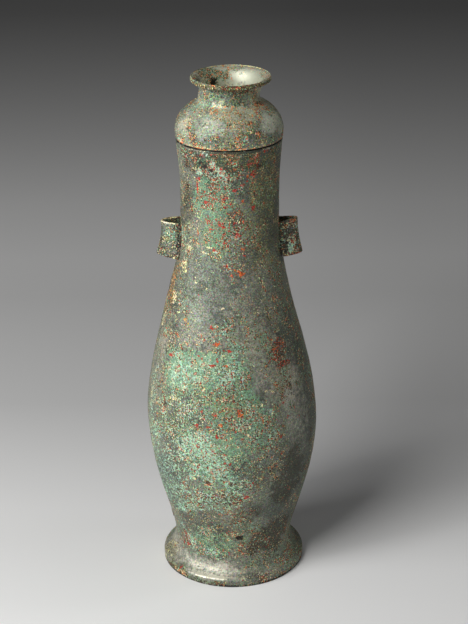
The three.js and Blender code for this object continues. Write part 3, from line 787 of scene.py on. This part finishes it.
def buildLid(s):
    side = s["bottom"] + s["skirt"]
    endAngle = math.radians(s["endAngle"])
    rimRadius, crownRadius, tenonRadius = s["rimRadius"], s["crownRadius"], s["tenonRadius"]
    reach = (s["sideRadius"] - crownRadius) / (1 - math.cos(endAngle))
    tall = s["rise"] / math.sin(endAngle)
    centre = (s["sideRadius"] - reach, side)
    domeTop = side + s["rise"]
    crownTop = domeTop + s["crownHeight"]
    tenonInside = tenonRadius - s["tenonWall"]
    tenonBottom = s["bottom"] - s["tenonDepth"]
    bend = s["bottomRound"]
    skirt = arc((s["bottomRadius"] - bend, s["bottom"] + bend), bend, bend, -90, 0, 5)
    skirt += [(s["bottomRadius"] + 0.2, s["bottom"] + 3)]
    dome = arc(centre, reach, tall, 0, s["endAngle"] - 3, 26)
    flareStart = domeTop + s["crownStraight"]
    rimBottom = crownTop - s["rimThickness"]
    outerFlare = arc((rimRadius, flareStart), rimRadius - crownRadius, rimBottom - flareStart, 180, 98, 12)
    lipRadius = rimRadius - s["rimEdge"]
    innerRadius = crownRadius - s["crownWall"]
    innerFlare = arc((lipRadius, flareStart), lipRadius - innerRadius, crownTop - 0.4 - flareStart, 88, 180, 12)
    cup = placed(s["cupEdge"], innerRadius, domeTop) + [(r, domeTop) for r in (*s["flatRings"], axisGap)]
    upwards = [(tenonRadius, z) for z in (tenonBottom, s["bottom"] - 5, s["bottom"])]
    upwards += skirt + dome + placed(s["collar"], crownRadius, domeTop)
    upwards += outerFlare + placed(s["rim"], rimRadius, crownTop) + innerFlare + cup
    inner = arc(centre, reach - s["wall"], tall - s["wall"], 0, s["endAngle"], 12)
    inwards = [upwards[0], (tenonInside, tenonBottom), (tenonInside, s["bottom"]), (tenonInside, s["bottom"] + 3)]
    inwards += inner + [(r, inner[-1][1]) for r in (s["flatRings"][0], axisGap)]
    piece = turnPiece("lidSkin", upwards, inwards, s["corners"])
    group = weighted(piece, "free", lambda p: (p.z - s["bottom"] - 1) / 5.0)
    unevenCasting(piece, *s["wideCasting"], group)
    unevenCasting(piece, *s["fineCasting"], group)
    applyAll(piece)
    tilt = math.tan(math.radians(s["crownTilt"]))
    for vertex in piece.data.vertices:
        raised = max(0.0, min(1.0, (vertex.co.z / mm - domeTop - 3) / 12))
        share = raised * raised * (3 - 2 * raised)
        vertex.co.x += s["crownShift"] * mm * share
        vertex.co.z += vertex.co.y * tilt * share
    smooth(piece, roundAngle)
    return piece


lidLook = {
    "cover": {"creamAndHighlight": 0.05, "orange": 0.07, "green": 0.18, "brownAndShade": 0.06, "red": -0.06, "blackAndShadow": 0.05,
              "olive": 0.14, "vein": -0.5, "grimeAndShade": -0.1},
    "shades": {"metalDark": "6e786a", "metalPale": "919986", "metalBright": "c9ccb8", "orange": "ec8c55"},
    "polish": 0.2,
    "grit": 2.1,
    "dull": 0.1,
}

print("building the lid")
lid = buildLid(lidShape)
setMaterial(lid, bronzePatina("lidPatina", lidMarks, **lidLook))
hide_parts("lid_dome", "lid_tenon", "lid_crown")
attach(lid, "lid")


# Lug: an arc bisected from a circle, extruded downwards and given its thickness
lugShape = {
    "top": 362.0,
    "wall": 2.0,
    "root": 4.5,       # how far its ends run into the neck
    "corners": 60,
    "cut": 0.5,        # where the circle is bisected, of its radius
    "steps": 14,
    "edge": 0.6,
    "edgeAngle": 50,
    "casting": (11, 0.6),
    "sides": {   # reach and half-depth go from the top to the bottom, and rise lifts the outer end there
        1: {"name": "rightLugSkin", "height": 33.5, "reach": (17.4, 17.3, 17.6, 18.4, 18.8),
            "halfDepth": (8.2, 13.5), "rise": (2.0, 1.0)},
        -1: {"name": "leftLugSkin", "height": 34.5, "reach": (19.1, 18.3, 18.4, 19.2, 20.2),
             "halfDepth": (11.5, 15.5), "rise": (0.2, 2.2)},
    },
}


def along(values, share):
    # the value at a share of the way through a list, on straight lines
    place = min(share, 0.9999) * (len(values) - 1)
    index = int(place)
    return values[index] + (values[index + 1] - values[index]) * (place - index)


def buildLug(s, side):
    one = s["sides"][side]
    deselectAll()
    bpy.ops.mesh.primitive_circle_add(vertices=s["corners"], radius=1, location=(0, 0, 0))
    piece = bpy.context.object
    piece.name = one["name"]
    editAll()
    cut = s["cut"]
    bpy.ops.mesh.bisect(plane_co=(cut, 0, 0), plane_no=(1, 0, 0), clear_inner=True)
    bpy.ops.mesh.select_all(action="SELECT")
    bpy.ops.transform.translate(value=(-cut, 0, 0))
    halfDepth = one["halfDepth"][0]
    bpy.ops.transform.resize(value=(one["reach"][0] * mm / (1 - cut), halfDepth * mm / math.sqrt(1 - cut * cut), 1),
                             center_override=(0, 0, 0))
    bpy.ops.transform.translate(value=(jarRadius(s["top"]) * mm, 0, s["top"] * mm))
    selectWhere(piece, lambda p: abs(p.y) > halfDepth - 0.05)
    bpy.ops.mesh.extrude_region_move(TRANSFORM_OT_translate={"value": (-s["root"] * mm, 0, 0)})
    bpy.ops.mesh.select_all(action="SELECT")
    down = one["height"] / s["steps"]
    for i in range(s["steps"]):
        before, after = i / s["steps"], (i + 1) / s["steps"]
        reaches = [along(one["reach"], t) for t in (before, after)]
        depths = [along(one["halfDepth"], t * t) for t in (before, after)]
        z0 = s["top"] - one["height"] * before
        neck = jarRadius(z0 - down)
        shift = neck - jarRadius(z0)
        bpy.ops.mesh.extrude_edges_move(TRANSFORM_OT_translate={"value": (shift * mm, 0, -down * mm)})
        bpy.ops.transform.resize(value=(reaches[1] / reaches[0], depths[1] / depths[0], 1),
                                 center_override=(neck * mm, 0, 0))
    leaveEdit(turnOutwards=True)
    for vertex in piece.data.vertices:
        height = vertex.co.z / mm
        t = (s["top"] - height) / one["height"]
        outwards = max(0.0, vertex.co.x / mm - jarRadius(height)) / along(one["reach"], t)
        vertex.co.z += outwards * along(one["rise"], t) * mm
    solidify = piece.modifiers.new("wall", "SOLIDIFY")
    solidify.thickness = s["wall"] * mm
    solidify.offset = -1
    bevel = piece.modifiers.new("edge", "BEVEL")
    bevel.width = s["edge"] * mm
    bevel.segments = 2
    bevel.limit_method = "ANGLE"
    bevel.angle_limit = math.radians(s["edgeAngle"])
    applyAll(piece)
    subdivision = piece.modifiers.new("fine", "SUBSURF")
    subdivision.levels = 1
    subdivision.render_levels = 1
    unevenCasting(piece, *s["casting"])
    applyAll(piece)
    if side < 0:
        editAll()
        bpy.ops.transform.rotate(value=math.pi, orient_axis="Z", center_override=(0, 0, 0))
        leaveEdit()
    smooth(piece, crispAngle)
    return piece


lugMarks = {
    # rubbed metal, and painted highlights: the glints along the lugs' top edges
    "wearAndHighlight": [(-58, -6, 361.5, 20, 1.2, 0.8), (58, -4, 362.5, 20, 1.2, 0.5)],
    # grime, and painted shade on the right lug, which lies in the neck's shadow (58, -12, 345)
    "grimeAndShade": [(-66, -2, 345, 6, 20, 0.5), (-60, -14, 330, 14, 6, 0.4), (58, -12, 345, 20, 30, 0.35)],
    "green": [(-60, -10, 350, 9, 8, 0.4), (-60, 0, 327, 24, 2.4, 0.5), (-60, -10, 340, 20, 20, 0.2)],
    "deepGreen": [(-60, 0, 327, 24, 2.4, 0.7)],
    "mint": [(-58, -12, 352, 6, 7, 0.4), (58, -12, 338, 5, 7, 0.7)],
    # cream, and painted highlights: the glints along the lugs' top edges (361.8, 362.5)
    "creamAndHighlight": [(-60, -10, 335, 14, 12, 0.14), (-58, -6, 361.8, 24, 1.0, 0.6), (58, -12, 338, 7, 8, 0.2),
              (58, -4, 362.5, 20, 1.0, 0.2)],
    "orange": [(66, -4, 334, 6, 8, 0.15), (60, -8, 328.5, 14, 2.4, 0.25), (62, -2, 362, 8, 2, 0.3)],
    "red": [(60, -8, 328.5, 14, 2.4, 0.25), (66, -4, 336, 3, 16, 0.12), (58, -6, 361, 5, 1.5, 0.3)],
    # black, and painted shadow where the lugs meet the neck (-48, -14, 345; 50, -14, 345)
    "blackAndShadow": [(-48, -14, 345, 4, 24, 0.5), (50, -14, 345, 6, 24, 0.4), (60, 0, 327.5, 24, 1.2, 0.5),
              (-60, 0, 326.5, 24, 1.2, 0.5)],
    # brown, and painted shadow where the left lug meets the neck (-50, -14, 345)
    "brownAndShade": [(-50, -14, 345, 5, 24, 0.3), (-66, -4, 350, 4, 12, 0.3)],
}

lugCover = {"creamAndHighlight": -0.01, "orange": -0.02, "green": 0.25, "brownAndShade": 0.22, "tan": -0.04, "blackAndShadow": 0.2,
            "grimeAndShade": 0.35, "red": -0.05, "mint": 0.06, "olive": 0.2}

print("building the lugs")
lugMaterial = bronzePatina("lugPatina", lugMarks, lugCover)
for side, node in ((1, "right_lug"), (-1, "left_lug")):
    lug = buildLug(lugShape, side)
    setMaterial(lug, lugMaterial)
    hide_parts(node)
    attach(lug, "jar")


# Spacers: the front one is eaten back into a pit, darkened partly with painted shade of its depth; the others stay
# flush and are darkened, partly as painted shade of the dark notch where the wall meets the foot
frontSpacerShape = {
    "size": 7.4,
    "depth": 2.2,
    "sunk": 0.25,
    "edge": 0.4,
    "cuts": 9,
    "casting": (1.6, 0.5),
}


def buildFrontSpacer(s):
    turn = math.radians(jarShape["spacerTurn"])
    reach = jarRadius(jarShape["spacerHeight"]) - s["sunk"] - s["depth"] / 2
    deselectAll()
    bpy.ops.mesh.primitive_cube_add(size=1, location=(0, 0, 0))
    piece = bpy.context.object
    piece.name = "frontSpacerSkin"
    piece.scale = (s["size"] * mm, s["depth"] * mm, s["size"] * mm)
    applyPlace()
    editAll()
    bpy.ops.mesh.bevel(offset=s["edge"] * mm, segments=2, affect="EDGES")
    bpy.ops.mesh.subdivide(number_cuts=s["cuts"])
    leaveEdit()
    unevenCasting(piece, *s["casting"])
    applyAll(piece)
    piece.rotation_euler = (0, 0, turn)
    piece.location = (reach * mm * math.sin(turn) + leanAt(jarShape["spacerHeight"]) * mm,
                      -reach * mm * math.cos(turn), jarShape["spacerHeight"] * mm)
    applyPlace()
    smooth(piece, crispAngle)
    return piece


print("finishing the spacers")
# dark spacer metal: partly painted shade of the notch where the wall meets the foot
spacerMaterial = bronzePatina("spacerPatinaAndShade", {}, {"brownAndShade": 0.5, "blackAndShadow": 0.3},
                              {"metalDark": "26231b", "metalPale": "3d392b"})
frontSpacer = buildFrontSpacer(frontSpacerShape)
# the pit's black is partly dark corrosion, partly painted shade of its depth
setMaterial(frontSpacer, bronzePatina("pitPatinaAndShade", {
    "blackAndShadow": [(6.5, -62, 51.8, 3.6, 3, 1.4)], "brownAndShade": [(7, -62, 51, 4.6, 4, 0.8)],
    "creamAndHighlight": [(6.2, -61, 49.4, 1, 0.9, 1.0)], "orange": [(4.4, -62, 52, 1, 1.6, 0.7)]}))
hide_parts("wall_spacer_1")
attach(frontSpacer, "jar")
for node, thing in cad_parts.items():
    if "spacer" in node:
        setMaterial(thing, spacerMaterial)


# Stage: a pale floor that falls away to grey behind, soft lamps and the camera
camera = {
    "place": (0.0029, -1.4235, 0.8665),   # metres
    "pitch": 22.85,                       # degrees below level
    "roll": -0.57,
    "lens": 92.0,
    "sensor": 36.0,
}

lamps = {
    "key": {"place": (-1.22, -1.33, 1.6), "aim": (0, 0, 0.25), "size": 1.2, "power": 43, "colour": (1, 0.995, 0.98)},
    "left": {"place": (-1.42, -0.6, 0.65), "aim": (0, 0, 0.25), "size": 0.6, "power": 11},
    "side": {"place": (1.6, 0.2, 1.5), "aim": (0, 0, 0.4), "size": 0.4, "power": 3.0},
    "right": {"place": (1.6, -0.4, 0.9), "aim": (0, 0, 0.5), "size": 0.5, "power": 1.0},
}

stage = {
    "worldLevel": 0.04,
    "worldColour": (1, 1, 1, 1),
    "floorSize": 12.0,
    "floorPlace": (0, 2, 0),
    "floorRoughness": 0.9,
    "floorStops": (   # place along Y in metres, brightness
        (-0.4, 0.98), (0.05, 0.82), (0.35, 0.6), (0.7, 0.59), (0.85, 0.65), (1.1, 0.65), (1.75, 0.5), (2.6, 0.32),
    ),
    # painted shadow: the floor is darkened beyond and to the right of the jar, where the jar's long soft shadow falls
    "rightShade": 0.12,   # how much darker the floor is beyond and to the right of the jar
    "rightSpan": (0.32, 0.4),   # metres along X and Y over which that comes in
}


def buildStage(s):
    deselectAll()
    bpy.ops.mesh.primitive_plane_add(size=s["floorSize"], location=s["floorPlace"])
    floor = bpy.context.object
    floor.name = "studioFloor"
    applyPlace()
    paper = Shader("studioPaper")
    place = paper.add("ShaderNodeTexCoord", output="Object")
    depth = paper.add("ShaderNodeSeparateXYZ", {}, {0: place}, output="Y")
    across = paper.add("ShaderNodeSeparateXYZ", {}, {0: place}, output="X")
    right, beyond = s["rightSpan"]
    # painted shadow on the floor, beyond and to the right of the jar
    darker = paper.fade(depth, 0.0, beyond, 0.0, s["rightShade"]) * paper.fade(across, 0.0, right)
    near, far = s["floorStops"][0][0], s["floorStops"][-1][0]
    fall = paper.add("ShaderNodeMapRange", {}, {"Value": depth, "From Min": near, "From Max": far})
    stops = [((y - near) / (far - near), (level, level, level, 1)) for y, level in s["floorStops"]]
    shade = paper.add("ShaderNodeValToRGB", {"stops": stops}, {"Fac": fall})
    shade = paper.blend(darker, shade, (0, 0, 0, 1))
    surface = paper.add("ShaderNodeBsdfPrincipled", {}, {"Base Color": shade, "Roughness": s["floorRoughness"]})
    paper.add("ShaderNodeOutputMaterial", {}, {"Surface": surface})
    setMaterial(floor, paper.material)


def addLamp(name, s):
    deselectAll()
    bpy.ops.object.light_add(type="AREA", location=s["place"])
    lamp = bpy.context.object
    lamp.name = name
    lamp.data.size = s["size"]
    lamp.data.energy = s["power"]
    lamp.data.color = s.get("colour", (1, 1, 1))
    lamp.rotation_euler = (Vector(s["aim"]) - Vector(s["place"])).to_track_quat("-Z", "Y").to_euler()


def addCamera(s):
    deselectAll()
    bpy.ops.object.camera_add(location=s["place"])
    thing = bpy.context.object
    turn = Matrix.Rotation(math.radians(90 - s["pitch"]), 4, "X") @ Matrix.Rotation(math.radians(s["roll"]), 4, "Z")
    thing.matrix_world = Matrix.Translation(s["place"]) @ turn
    thing.data.lens = s["lens"]
    thing.data.sensor_width = s["sensor"]
    thing.data.clip_start = 0.05
    bpy.context.scene.camera = thing


print("setting the stage")
buildStage(stage)
for lampName, lampSettings in lamps.items():
    addLamp(lampName, lampSettings)
addCamera(camera)
world = bpy.data.worlds.new("softWorld")
world.use_nodes = True
background = world.node_tree.nodes["Background"].inputs
background["Color"].default_value = stage["worldColour"]
background["Strength"].default_value = stage["worldLevel"]
bpy.context.scene.world = world
bpy.context.scene.view_settings.view_transform = "Standard"

deselectAll()
